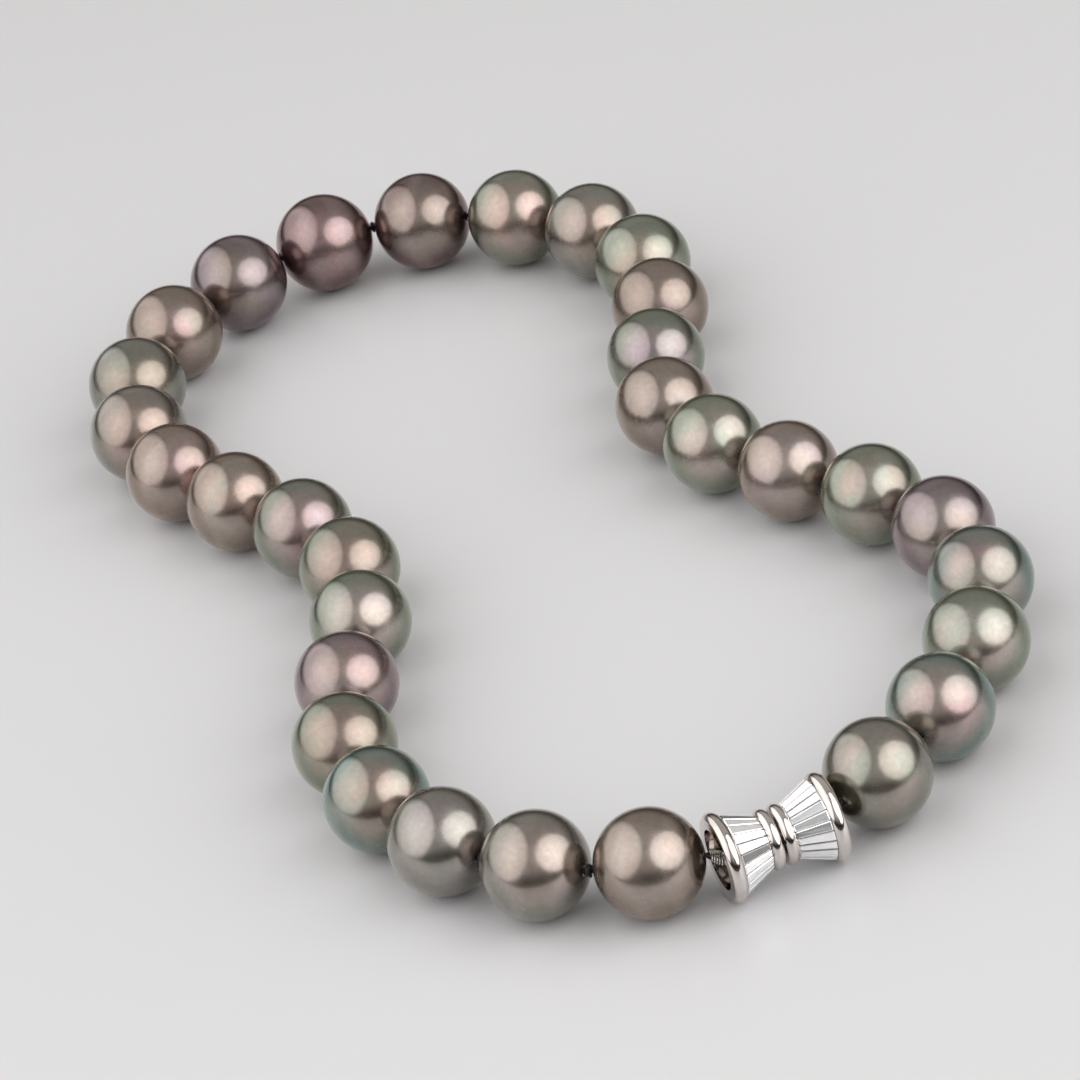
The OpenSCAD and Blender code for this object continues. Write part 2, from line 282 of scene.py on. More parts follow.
def build_nacre_group():
    """Body colour, clouds of one overtone, bands of another, the colour of a painted rim sheen, and the fine
    waviness of the skin.
    """
    group, given, result = new_group(
        "nacre",
        [("NodeSocketVector", "Place", None), ("NodeSocketColor", "Body", None),
         ("NodeSocketColor", "Cloud", None), ("NodeSocketColor", "Band", None),
         ("NodeSocketFloat", "Cloud Amount", 0.75), ("NodeSocketFloat", "Band Amount", 0.35),
         ("NodeSocketColor", "Painted Rim Sheen", None), ("NodeSocketFloat", "Roughness", 0.16)],
        [("NodeSocketColor", "Color"), ("NodeSocketColor", "Painted Rim Sheen"), ("NodeSocketFloat", "Roughness"),
         ("NodeSocketFloat", "Height")])
    t = group
    place = given.outputs["Place"]
    cloud = remap(t, noise(t, place, CLOUD_SCALE, 1.5, 0.45, 0.3), 0.42, 0.6, 0.0, 1.0)
    colour = mix_colours(t, math(t, "MULTIPLY", cloud, given.outputs["Cloud Amount"]),
                         given.outputs["Body"], given.outputs["Cloud"])
    split = t.nodes.new("ShaderNodeSeparateXYZ")
    t.links.new(place, split.inputs[0])
    wander = math(t, "MULTIPLY", noise(t, place, WANDER_SCALE, 2.0), RING_WANDER)
    height_on_axis = math(t, "ADD", split.outputs["Z"], wander)
    rings = math(t, "SINE", math(t, "MULTIPLY", height_on_axis, RING_RATE))
    band = remap(t, rings, -0.2, 1.0, 0.0, 1.0)
    colour = mix_colours(t, math(t, "MULTIPLY", band, given.outputs["Band Amount"]),
                         colour, given.outputs["Band"])
    grain = noise(t, place, GRAIN_SCALE, 4.0, 0.6)
    shade = remap(t, grain, 0.3, 0.7, 0.93, 1.05)
    # Painted rim sheen: the darker rim tint, with the cloud tint in the bands; the material paints it in at
    # the rim.
    painted_rim_sheen = mix_colours(t, math(t, "MULTIPLY", band, PAINTED_SHEEN_BAND),
                         given.outputs["Painted Rim Sheen"], given.outputs["Cloud"])
    for tint, label in ((colour, "Color"), (painted_rim_sheen, "Painted Rim Sheen")):
        bright = t.nodes.new("ShaderNodeVectorMath")
        bright.operation = "SCALE"
        t.links.new(tint, bright.inputs[0])
        t.links.new(shade, bright.inputs["Scale"])
        t.links.new(bright.outputs[0], result.inputs[label])
    spread = remap(t, noise(t, place, 3.0, 3.0), 0.3, 0.7, -0.03, 0.04)
    t.links.new(math(t, "ADD", given.outputs["Roughness"], spread), result.inputs["Roughness"])
    wave = noise(t, place, WAVE_SCALE, 2.0)
    fine = math(t, "MULTIPLY", noise(t, place, FINE_SCALE, 3.0), FINE_HEIGHT)
    t.links.new(math(t, "ADD", wave, fine), result.inputs["Height"])
    return group


nacre_group = build_nacre_group()
print("group:", nacre_group.name, [s.name for s in nacre_group.interface.items_tree])

# %% Metal and silk groups
BLOOM_SCALE, FLUFF_SCALE = 260.0, 30.0
SCRATCH_STRETCH = (1.0, 0.12, 1.0)
SCRATCH_TURN = (0.3, 0.2, 0.9)


def build_polish_group():
    """Polished metal: faint clouded colour, long hairline scratches, a soft worn bloom."""
    group, given, result = new_group(
        "polish",
        [("NodeSocketVector", "Place", None), ("NodeSocketColor", "Metal", None),
         ("NodeSocketColor", "Shadow", None), ("NodeSocketFloat", "Roughness", 0.06),
         ("NodeSocketFloat", "Grain", 900.0)],
        [("NodeSocketColor", "Color"), ("NodeSocketFloat", "Roughness"), ("NodeSocketFloat", "Height")])
    t = group
    place = given.outputs["Place"]
    bloom = remap(t, noise(t, place, BLOOM_SCALE, 3.0), 0.4, 0.75, 0.0, 1.0)
    t.links.new(mix_colours(t, bloom, given.outputs["Metal"], given.outputs["Shadow"]),
                result.inputs["Color"])
    stretch = t.nodes.new("ShaderNodeMapping")
    stretch.inputs["Scale"].default_value = SCRATCH_STRETCH
    stretch.inputs["Rotation"].default_value = SCRATCH_TURN
    t.links.new(place, stretch.inputs["Vector"])
    scratch_node = t.nodes.new("ShaderNodeTexNoise")
    scratch_node.inputs["Detail"].default_value = 3.0
    t.links.new(stretch.outputs[0], scratch_node.inputs["Vector"])
    t.links.new(given.outputs["Grain"], scratch_node.inputs["Scale"])
    scratch = scratch_node.outputs["Fac"]
    rough = math(t, "ADD", given.outputs["Roughness"], remap(t, scratch, 0.45, 0.8, 0.0, 0.06))
    t.links.new(math(t, "ADD", rough, math(t, "MULTIPLY", bloom, 0.03)), result.inputs["Roughness"])
    t.links.new(scratch, result.inputs["Height"])
    return group


def build_twist_group():
    """Twisted thread: plies that wind round the piece, read from its UV map (turns along, once round). The
    colour goes dark where the plies' height is low, a painted shade in the grooves between them, with random
    fluff in it.
    """
    group, given, result = new_group(
        "twist",
        [("NodeSocketVector", "UV", None), ("NodeSocketColor", "Thread", None),
         ("NodeSocketColor", "Groove Shade", None), ("NodeSocketFloat", "Plies", 3.0)],
        [("NodeSocketColor", "Color"), ("NodeSocketFloat", "Roughness"), ("NodeSocketFloat", "Height")])
    t = group
    split = t.nodes.new("ShaderNodeSeparateXYZ")
    t.links.new(given.outputs["UV"], split.inputs[0])
    phase = math(t, "ADD", split.outputs["X"], math(t, "MULTIPLY", split.outputs["Y"],
                                                    given.outputs["Plies"]))
    ply = math(t, "ABSOLUTE", math(t, "SINE", math(t, "MULTIPLY", phase, np.pi)))
    fluff = noise(t, given.outputs["UV"], FLUFF_SCALE, 3.0)
    height = math(t, "ADD", ply, math(t, "MULTIPLY", fluff, 0.35))
    # Painted shade: the colour darkens to the second, dark colour where the height is low, between the plies;
    # the fluff noise adds random tone.
    t.links.new(mix_colours(t, remap(t, height, 0.3, 1.1, 0.0, 1.0), given.outputs["Groove Shade"],
                            given.outputs["Thread"]), result.inputs["Color"])
    t.links.new(remap(t, fluff, 0.3, 0.7, 0.42, 0.6), result.inputs["Roughness"])
    t.links.new(height, result.inputs["Height"])
    return group


polish_group = build_polish_group()
twist_group = build_twist_group()
print("groups:", polish_group.name, twist_group.name)

# %% Material maker
# Where the painted rim sheen starts and ends on the Layer Weight mask.
PAINTED_SHEEN_FROM, PAINTED_SHEEN_TO = 0.04, 0.55


def new_material(name, group, vector_kind, group_values, bump, **constants):
    """A Principled material fed by a group. Constants sit on the shader's own sockets. vector_kind is
    "Object", "UV" or the name of an attribute; bump is (strength, distance in metres). A group that has a
    painted rim sheen colour gets it painted into the base colour where the skin turns away from the eye,
    a painted sheen and a darker rim."""
    material = bpy.data.materials.new(name)
    material.use_nodes = True
    tree = material.node_tree
    tree.nodes.clear()
    out = tree.nodes.new("ShaderNodeOutputMaterial")
    shader = tree.nodes.new("ShaderNodeBsdfPrincipled")
    tree.links.new(shader.outputs[0], out.inputs["Surface"])
    if vector_kind in ("Object", "UV"):
        vector = tree.nodes.new("ShaderNodeTexCoord").outputs[vector_kind]
    else:
        attribute = tree.nodes.new("ShaderNodeAttribute")
        attribute.attribute_name = vector_kind
        vector = attribute.outputs["Vector"]
    finish = tree.nodes.new("ShaderNodeGroup")
    finish.node_tree = group
    tree.links.new(vector, finish.inputs[0])
    for label, value in group_values.items():
        finish.inputs[label].default_value = value
    tree.links.new(finish.outputs["Color"], shader.inputs["Base Color"])
    tree.links.new(finish.outputs["Roughness"], shader.inputs["Roughness"])
    relief = tree.nodes.new("ShaderNodeBump")
    relief.inputs["Strength"].default_value, relief.inputs["Distance"].default_value = bump
    tree.links.new(finish.outputs["Height"], relief.inputs["Height"])
    tree.links.new(relief.outputs[0], shader.inputs["Normal"])
    for label, value in constants.items():
        shader.inputs[label.replace("_", " ").title().replace("Ior", "IOR")].default_value = value
    # Painted sheen and rim shade: a Layer Weight mask paints the group's darker rim tint into the base colour
    # where the skin turns away.
    if "Painted Rim Sheen" in finish.outputs:
        glance = tree.nodes.new("ShaderNodeLayerWeight")
        glance.inputs["Blend"].default_value = 0.5
        edge = remap(tree, glance.outputs["Facing"], PAINTED_SHEEN_FROM, PAINTED_SHEEN_TO, 0.0, 1.0)
        tree.links.new(mix_colours(tree, edge, finish.outputs["Color"], finish.outputs["Painted Rim Sheen"]),
                       shader.inputs["Base Color"])
    return material


def linear(r, g, b):
    """A colour given as 0-255 screen values, as the linear RGBA that the shader takes."""
    c = np.array([r, g, b]) / 255
    c = np.where(c <= 0.04045, c / 12.92, ((c + 0.055) / 1.055) ** 2.4)
    return (*c.tolist(), 1.0)


print("sample colour:", linear(150, 135, 125))

# %% [markdown]
# Tints of the pearls
#
# No two dark pearls match. Each has a body colour from silver grey to bronze and aubergine, and overtones of
# green, rose or champagne. The strand is one entry per pearl: body, cloud and band tints, the rim tint of the
# painted rim sheen by name, and a lightness. The very edge also has the metal's edge tint (Specular Tint).

# %% Pearl tints
TINTS = {
    "taupe": (158, 145, 137), "silver": (158, 151, 146), "steel": (157, 150, 145), "bronze": (154, 138, 128),
    "rose": (164, 140, 138), "aubergine": (150, 126, 124), "peach": (163, 144, 134),
    "champagne": (164, 153, 145), "brown": (150, 136, 127), "olive": (154, 142, 128),
    "green": (140, 146, 134), "lilac": (156, 142, 146),
}
# Rim tints for the painted rim sheen, darker than the bodies; each also sets the metal's edge tint.
RIM_SHEEN_TINTS = {
    "green": (119, 124, 110), "sea": (113, 126, 119), "grey": (128, 126, 118), "lilac": (121, 108, 111),
    "bronze": (132, 119, 108), "plum": (112, 92, 90),
}
STRAND = [
    ("taupe", "champagne", "bronze", "bronze", 1.0), ("taupe", "silver", "champagne", "grey", 1.0),
    ("steel", "lilac", "green", "grey", 1.01), ("bronze", "green", "peach", "sea", 1.01),
    ("bronze", "olive", "rose", "green", 0.99), ("taupe", "rose", "lilac", "lilac", 0.99),
    ("champagne", "green", "lilac", "green", 1.03), ("bronze", "peach", "green", "green", 0.98),
    ("rose", "lilac", "green", "green", 0.99), ("peach", "champagne", "green", "bronze", 1.0),
    ("brown", "rose", "silver", "bronze", 1.01), ("bronze", "rose", "peach", "grey", 0.99),
    ("olive", "green", "champagne", "grey", 0.93), ("bronze", "rose", "green", "bronze", 0.97),
    ("brown", "lilac", "taupe", "lilac", 0.92), ("aubergine", "rose", "lilac", "plum", 0.96),
    ("brown", "champagne", "rose", "plum", 0.94), ("peach", "rose", "green", "green", 1.04),
    ("bronze", "green", "silver", "grey", 1.01), ("olive", "green", "champagne", "green", 1.03),
    ("brown", "bronze", "lilac", "bronze", 0.98), ("lilac", "green", "champagne", "green", 0.99),
    ("brown", "taupe", "silver", "bronze", 0.99), ("champagne", "green", "bronze", "green", 1.05),
    ("taupe", "lilac", "champagne", "bronze", 1.04), ("brown", "green", "silver", "green", 1.06),
    ("taupe", "lilac", "steel", "lilac", 0.97), ("champagne", "rose", "green", "sea", 0.97),
    ("champagne", "green", "silver", "green", 1.04), ("rose", "champagne", "green", "sea", 1.01),
    ("taupe", "green", "bronze", "grey", 1.0),
]
NACRE_ROUGHNESS = 0.24
NACRE_RELIEF = (0.035, 0.0005)


def pearl_material(i):
    """The nacre of pearl i."""
    body, cloud, band, rim, light = STRAND[i - 1]

    def lit(colour):
        return tuple(light * light * v for v in linear(*colour)[:3]) + (1.0,)

    edge_tint = (*(v / max(RIM_SHEEN_TINTS[rim]) for v in RIM_SHEEN_TINTS[rim]), 1.0)
    return new_material(
        f"nacre_{i:02d}", nacre_group, "nacre_place",
        {"Body": lit(TINTS[body]), "Cloud": lit(TINTS[cloud]), "Band": lit(TINTS[band]),
         "Painted Rim Sheen": lit(RIM_SHEEN_TINTS[rim]), "Roughness": NACRE_ROUGHNESS},
        NACRE_RELIEF, metallic=0.92, specular_tint=edge_tint, coat_weight=0.7, coat_roughness=0.05,
        coat_ior=1.45)


print("tints:", len(TINTS), "pearls:", len(STRAND))

# %% [markdown]
# The pearls
#
# A pearl is drilled through, and hardly ever quite round. The profile runs from one mouth of the hole, over
# the skin, to the other mouth and back through the hole, so the surface is closed like a very fat ring. The
# skin's radius is the CAD sphere's, less a fraction of a percent of slow waves, so it never leaves the CAD
# sphere. The hole lies along the strand, from one knot to the next.

# %% Where the strand runs
knot_at = {}
for joint in frame["joints"]:
    name = joint["name"]
    if name == "socket_end_bend":
        knot_at[0] = np.array(joint["pos_m"])
    elif name == "plug_end_bend":
        knot_at[PEARLS] = np.array(joint["pos_m"])
    elif name == "strand_spread":
        knot_at[MIDDLE] = np.array(joint["pos_m"])
    elif name.startswith("knot_"):
        knot_at[int(name[5:7])] = np.array(joint["pos_m"])
    elif name == "socket_swivel":
        clasp_centre, clasp_way = np.array(joint["pos_m"]), unit(joint["axis"])


def pearl_name(i):
    return f"pearl_{i:02d}"


def pearl_place(i):
    """Centre and radius of pearl i, from its CAD node's box, and the way its hole runs."""
    low, high = (np.array(corner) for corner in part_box(pearl_name(i)))
    return (low + high) / 2, (high[2] - low[2]) / 2, unit(knot_at[i] - knot_at[i - 1])


print("knots:", len(knot_at), "clasp centre, mm:", clasp_centre / MM, "way:", clasp_way)

# %% Pearl surface
DRILL_R = 0.5 * MM
SKIN_ROWS, ROUND_COLS, BORE_ROWS = 72, 96, 4
WAVES = ((1.6, 0.005), (2.6, 0.003), (4.0, 0.0012))  # how fast each slow wave turns, and its height
PATTERN_SHIFT = 20
rng = np.random.default_rng(31)


def pearl_surface(centre, radius, way, waves):
    """Latitude goes from the hole's first mouth to its second: latitude p, longitude q give the direction
    (sin p cos q, sin p sin q, -cos p) about the bore; radius times 1 - slow waves is the skin. The bore is
    the same ring of columns at the drill's radius."""
    first = np.arcsin(DRILL_R / radius)
    p = np.linspace(first, np.pi - first, SKIN_ROWS)[:, None]
    q = (np.arange(ROUND_COLS) * 2 * np.pi / ROUND_COLS)[None, :]
    local = np.stack(np.broadcast_arrays(np.sin(p) * np.cos(q), np.sin(p) * np.sin(q), -np.cos(p)), -1)
    sag = np.zeros(local.shape[:2])
    for direction, size, phase in waves:
        sag += size * (1 + np.sin(local @ direction + phase)) / 2
    skin = local * (radius * (1 - sag))[..., None]
    ends = np.linspace(1, 0, BORE_ROWS + 2)[1:-1, None]
    z = ends * skin[-1, :, 2].mean() + (1 - ends) * skin[0, :, 2].mean()
    bore = np.stack(np.broadcast_arrays(DRILL_R * np.cos(q), DRILL_R * np.sin(q), z), -1)
    grid = np.concatenate([skin, bore]).reshape(-1, 3)
    across = unit(np.cross(way, (0.0, 0.0, 1.0)))
    axes = np.stack([across, np.cross(way, across), way])
    return centre + grid @ axes, grid / radius


def make_pearl(i):
    """The skin of pearl i, with its place in the pattern as an attribute."""
    centre, radius, way = pearl_place(i)
    waves = [(rng.normal(size=3) * rate, size, rng.uniform(0, 6.28)) for rate, size in WAVES]
    points, place = pearl_surface(centre, radius, way, waves)
    faces = grid_faces(SKIN_ROWS + BORE_ROWS, ROUND_COLS, True)
    piece = make_piece(f"nacre_{pearl_name(i)}", points, faces, pearl_name(i),
                       pearl_material(i), [pearl_name(i)])
    layer = piece.data.attributes.new("nacre_place", "FLOAT_VECTOR", "POINT")
    place = place + rng.uniform(-PATTERN_SHIFT, PATTERN_SHIFT, 3)
    layer.data.foreach_set("vector", place.astype(np.float32).ravel())
    return piece


pearls = [make_pearl(i) for i in range(1, PEARLS + 1)]
print("pearls:", len(pearls), "faces each:", len(pearls[0].data.polygons))

# %% [markdown]
# The silk
#
# One black thread runs through every pearl with an overhand knot in each gap. A run of thread rides with
# each pearl and carries the knot at its far end. A knot is drawn as a trefoil: a curve that goes twice
# round the thread while it swings three times in and out, which is what an overhand knot pulls into.

# %% Silk runs and knots
SILK_R = 0.3 * MM
KNOT_PLY_R = 0.21 * MM
KNOT_REACH = 0.43 * MM
KNOT_SWING = 0.2 * MM
KNOT_HALF = 0.12 * MM
KNOT_TURN = 0.7
KNOT_POINTS, KNOT_SIDES = 90, 10
RUN_POINTS, RUN_SIDES = 10, 12
THREAD_TWIST, PLY_TWIST = 0.7 * MM, 0.5 * MM
BIGHT_START = 0.65 * MM
# The dark second colour of the silk is painted shade in the grooves between the plies.
silk = new_material("black_silk", twist_group, "UV",
                    {"Thread": linear(24, 22, 23), "Groove Shade": linear(7, 6, 7), "Plies": 2.0},
                    (0.6, 0.00008), sheen_weight=0.25, sheen_roughness=0.4, specular_ior_level=0.4)


def trefoil(centre, way, turn):
    """Angle 2t about the thread, distance reach + swing cos 3t from it, half length sin 3t along it."""
    t = np.linspace(0, 2 * np.pi, KNOT_POINTS, endpoint=False)
    across = unit(np.cross(way, (0.0, 0.0, 1.0)))
    over = np.cross(across, way)
    far = KNOT_REACH + KNOT_SWING * np.cos(3 * t)
    return (centre + (far * np.cos(2 * t + turn))[:, None] * across
            + (far * np.sin(2 * t + turn))[:, None] * over
            + (KNOT_HALF * np.sin(3 * t))[:, None] * way)


def make_silk_run(i):
    """Straight thread from knot to knot, through pearl i, with the knot at its far end."""
    centre, _, way = pearl_place(i)
    start, end = knot_at[i - 1], knot_at[i]
    if i == 1:
        start = start + way * BIGHT_START
    if i == PEARLS:
        end = end - way * BIGHT_START
    path = start + (end - start) * np.linspace(0, 1, RUN_POINTS)[:, None]
    parts, uvs = [tube(path, SILK_R, RUN_SIDES)], [tube_uv(path, RUN_SIDES, THREAD_TWIST)]
    if i < PEARLS:
        loop = trefoil(knot_at[i], unit(way + pearl_place(i + 1)[2]), KNOT_TURN * i)
        parts.append(tube(loop, KNOT_PLY_R, KNOT_SIDES, closed=True))
        uvs.append(tube_uv(loop, KNOT_SIDES, PLY_TWIST))
    points, faces, caps = join(parts)
    piece = make_piece(f"silk_run_{i:02d}", points, faces, pearl_name(i), silk,
                       ["silk_thread"], caps=caps)
    add_uv(piece.data, np.concatenate(uvs))
    return piece


silk_runs = [make_silk_run(i) for i in range(1, PEARLS + 1)]
print("silk runs:", len(silk_runs))

# %% [markdown]
# French wire
#
# Where the silk goes round the clasp's eyelet it runs inside a fine coil of silver wire, called gimp, so
# that the metal doesn't saw through it. The coil really is a coil here: a helix about the path of the bight,
# with the thread inside. The bight is an arc round the eyelet's bar and two legs to the pearl's hole.

# %% Bight path
EYE_WIRE_R, EYE_FIT = 0.35 * MM, 0.12 * MM
GIMP_R = 0.45 * MM
BIGHT_R = EYE_WIRE_R + EYE_FIT + GIMP_R
ARC_HALF, ARC_POINTS = 104, 60


def node_points(name):
    """The points of a CAD node's mesh, one row each."""
    co = np.zeros(len(frame["nodes"][name].data.vertices) * 3, np.float32)
    frame["nodes"][name].data.vertices.foreach_get("co", co)
    return co.reshape(-1, 3).astype(float)


def bight(side):
    """Origin on the eyelet's bar, level directions out to the pearl's hole and across to the flank, the
    distance to the hole and the climb to it. side is -1 at the socket and 1 at the plug."""
    eyelet = "socket_eyelet" if side < 0 else "plug_eyelet"
    reach = ((node_points(eyelet) - clasp_centre) @ (side * clasp_way)).max() - EYE_WIRE_R
    eye = clasp_centre + side * clasp_way * reach
    centre, radius, way = pearl_place(1 if side < 0 else PEARLS)
    run = centre + side * radius * way - eye
    far = np.hypot(run[0], run[1])
    out = np.array([run[0], run[1], 0.0]) / far
    return eye, out, np.cross((0.0, 0.0, 1.0), out), far, run[2] / far


def in_bight(side, flat):
    """Flat (out, flank) points, level round the bar and rising beyond it to the pearl's hole."""
    eye, out, flank, _, climb = bight(side)
    rise = np.maximum(flat[:, :1], 0) * climb * np.array([[0.0, 0.0, 1.0]])
    return eye + flat[:, :1] * out + flat[:, 1:] * flank + rise


def resample(points, spacing):
    """A path with points at about every spacing, on the straight lines between the given ones."""
    run = run_along(points)
    s = np.linspace(0, run[-1], max(8, int(run[-1] / spacing)))
    return np.stack([np.interp(s, run, points[:, k]) for k in range(points.shape[1])], -1)


def bight_flat(leg_end):
    """Leg in, arc of twice ARC_HALF degrees round the bar, leg out."""
    a = np.radians(np.linspace(-ARC_HALF, ARC_HALF, ARC_POINTS))
    arc = BIGHT_R * np.stack([-np.cos(a), np.sin(a)], -1)
    return np.concatenate([leg_end * (1, -1), arc, leg_end[::-1]])


for side in (-1, 1):
    print("bar to pearl, mm:", round(bight(side)[3] / MM, 2))

# %% Coil and silk bight
COIL_R = 0.41 * MM
GIMP_WIRE_R = 0.13 * MM
GIMP_PITCH = 0.3 * MM
COIL_STEP, SILK_STEP = 0.008 * MM, 0.1 * MM
MOUTH_GAP = 0.45 * MM
LEG_OUT = GIMP_R + 0.02 * MM
LEG_DEPTH = 0.3 * MM
LEG_AT_HOLE, LEG_IN_HOLE = 0.15 * MM, 0.12 * MM
BIGHT_SILK_R = SILK_R * 0.62
COIL_SIDES, BIGHT_SIDES = 8, 10


def metal(name, bright, shadow, roughness, grain, bump):
    """A polished metal from two screen colours."""
    return new_material(name, polish_group, "Object",
                        {"Metal": linear(*bright), "Shadow": linear(*shadow), "Roughness": roughness,
                         "Grain": grain}, bump, metallic=1.0)


silver_wire = metal("silver_wire", (226, 222, 216), (190, 182, 172), 0.16, 2500.0, (0.1, 0.00002))


def make_gimp(side):
    """The coil at one end, path + radius * (cos a * side + sin a * cross) with a growing by one turn each
    pitch, and the doubled silk inside it. Returns how many points the coil has."""
    name = "socket" if side < 0 else "plug"
    reach = bight(side)[3]
    leg = [reach - MOUTH_GAP, LEG_OUT]
    path = in_bight(side, resample(bight_flat(np.array([leg])), COIL_STEP))
    _, side_dir, cross = path_frames(path, False)
    a = (2 * np.pi * run_along(path) / GIMP_PITCH)[:, None]
    helix = path + (COIL_R - GIMP_WIRE_R) * (np.cos(a) * side_dir + np.sin(a) * cross)
    points, faces, caps = tube(helix, GIMP_WIRE_R, COIL_SIDES)
    make_piece(f"{name}_gimp_coil", points, faces, f"{name}_link", silver_wire,
               [f"{name}_gimp"], caps=caps)
    ends = np.array([[reach + LEG_DEPTH, LEG_IN_HOLE], [reach, LEG_AT_HOLE], leg])
    thread = in_bight(side, resample(bight_flat(ends), SILK_STEP))
    points, faces, caps = tube(thread, BIGHT_SILK_R, BIGHT_SIDES)
    piece = make_piece(f"{name}_silk_bight", points, faces, f"{name}_link", silk,
                       ["silk_thread"], caps=caps)
    add_uv(piece.data, tube_uv(thread, BIGHT_SIDES, THREAD_TWIST))
    return len(helix)


print("coil points:", [make_gimp(side) for side in (-1, 1)])

# %% [markdown]
# The clasp
#
# The clasp's turned pieces are true to shape in the CAD model, so they stay, and get the finish of polished
# white gold: nearly a mirror, a hair warmer than silver, with hairline scratches. The inside is never
# polished as well, so the plates and the bush are rougher, and they are also painted much darker and browner,
# a painted shade for the inside of the clasp. The cones under the stones are between the two, because the
# stones show them from above.

# %% Gold finishes
white_gold = metal("white_gold", (214, 207, 203), (196, 188, 182), 0.05, 1500.0, (0.03, 0.00001))
# Painted shade: a much darker, browner colour on the inner parts stands in for the shade inside the clasp; the
# higher roughness is real.
recess_shaded_gold = metal("recess_shaded_gold", (150, 136, 122), (104, 92, 80), 0.32, 3000.0, (0.2, 0.00003))
seat_gold = metal("seat_gold", (196, 190, 184), (150, 144, 138), 0.12, 2000.0, (0.1, 0.00002))
spring_wire = metal("spring_wire", (186, 184, 180), (160, 158, 154), 0.2, 4000.0, (0.15, 0.00002))


def dress(node, material):
    """Puts a material on a CAD node's object, without touching its mesh."""
    slot = frame["nodes"][node].material_slots[0]
    slot.link = "OBJECT"
    slot.material = material


for half in ("socket", "plug"):
    for part, gold in (("rim", white_gold), ("waist_ring", white_gold), ("cone", seat_gold),
                       ("end_plate", recess_shaded_gold), ("eyelet", white_gold)):
        dress(f"{half}_{part}", gold)
dress("socket_bush", recess_shaded_gold)
dress("plug_pin", white_gold)
dress("snap_ring", spring_wire)
print("gold dressed")

# %% [markdown]
# The stones
#
# Each cone carries tapered baguettes side by side. A diamond bends light strongly (index 2.42) and has a
# colourless body, so its whole look is what its facets send back: flat shading keeps every edge crisp. Each
# stone has a long table, narrow bevels round it, and a pavilion in two steps down to a keel.

# %% Stone finish
STONE_CLOUD_SCALE = 700.0


def build_stone_group():
    """Clear stone: a trace of colour in slow clouds and a polish that varies by a hair."""
    group, given, result = new_group(
        "stone", [("NodeSocketVector", "Place", None), ("NodeSocketColor", "Clear", None),
                  ("NodeSocketColor", "Trace", None)],
        [("NodeSocketColor", "Color"), ("NodeSocketFloat", "Roughness"), ("NodeSocketFloat", "Height")])
    t = group
    cloud = noise(t, given.outputs["Place"], STONE_CLOUD_SCALE, 2.0)
    t.links.new(mix_colours(t, remap(t, cloud, 0.35, 0.65, 0.0, 1.0), given.outputs["Clear"],
                            given.outputs["Trace"]), result.inputs["Color"])
    t.links.new(remap(t, cloud, 0.3, 0.7, 0.0, 0.02), result.inputs["Roughness"])
    t.links.new(cloud, result.inputs["Height"])
    return group


stone_group = build_stone_group()
diamond = new_material("diamond", stone_group, "Object",
                       {"Clear": (0.95, 0.96, 0.97, 1.0), "Trace": (0.86, 0.89, 0.92, 1.0)},
                       (0.02, 0.00001), ior=2.42, transmission_weight=0.8)
print("stone group:", stone_group.name)

# %% Cut stones
STONES = 24
GIRDLE_DROP = 0.2 * MM
BEVEL, BEVEL_DROP = 0.1 * MM, 0.09 * MM
KEEL_DEPTH = 0.66 * MM
STEP_WIDE, STEP_DEEP = 0.55, 0.62
STONE_GAP = 0.05 * MM
EDGE_BAND = 0.02 * MM
LENGTH_STEPS = (0.0, 0.035, 0.965, 1.0)
STATIONS, ROUND_STONE = 4, 7


def cut_stones(half, side):
    """A ring of tapered baguettes. Each is a 4 by 7 grid: four stations along its length, and across each
    the girdle, the table between two bevels, the girdle again, and three points of the pavilion down to
    the keel. Its half width is the radius times sin of half its share of the circle, less half the gap.
    Turning the grid by every stone's angle at once gives the ring."""
    seat = node_points(f"{half}_baguettes") - clasp_centre
    along = seat @ (side * clasp_way)
    round_r = np.linalg.norm(seat - along[:, None] * side * clasp_way, axis=1)
    low, high = along.min(), along.max()
    r_low = round_r[along < low + EDGE_BAND].max() + GIRDLE_DROP
    r_high = round_r[along > high - EDGE_BAND].max() + GIRDLE_DROP
    share = np.array(LENGTH_STEPS)[:, None]
    top = r_low + (r_high - r_low) * share
    wide = (top - GIRDLE_DROP) * np.sin(np.pi / STONES) - STONE_GAP / 2
    ends = np.array([1.0, 0.0, 0.0, 1.0])[:, None]
    across = np.concatenate([-wide, BEVEL - wide, wide - BEVEL, wide,
                             wide * STEP_WIDE, wide * 0, -wide * STEP_WIDE], 1)
    step = KEEL_DEPTH * STEP_DEEP
    drop = np.array([[BEVEL_DROP, 0, 0, BEVEL_DROP, step, KEEL_DEPTH, step]])
    height = top - np.maximum(drop, ends * BEVEL_DROP)
    angle = (np.arange(STONES) + 0.5)[:, None, None] * 2 * np.pi / STONES
    first = np.array([0.0, 0.0, 1.0])
    second = np.cross(side * clasp_way, first)
    x = height * np.cos(angle) - across * np.sin(angle)
    y = height * np.sin(angle) + across * np.cos(angle)
    z = np.broadcast_to(low + (high - low) * share, x.shape)
    points = clasp_centre + x[..., None] * first + y[..., None] * second + z[..., None] * side * clasp_way
    one = grid_faces(STATIONS, ROUND_STONE, False)[:, ::-1]
    each = STATIONS * ROUND_STONE
    base = np.arange(STONES)[:, None, None] * each
    two_ends = (range(ROUND_STONE), range(each - 1, each - 1 - ROUND_STONE, -1))
    caps = [[k * each + c for c in cap] for k in range(STONES) for cap in two_ends]
    return make_piece(f"{half}_stones", points.reshape(-1, 3), (one + base).reshape(-1, 4), f"{half}_half",
                      diamond, [f"{half}_baguettes"], smooth=False, caps=caps)


for half, side in (("socket", -1), ("plug", 1)):
    stones = cut_stones(half, side)
    print(stones.name, len(stones.data.polygons), "facets")

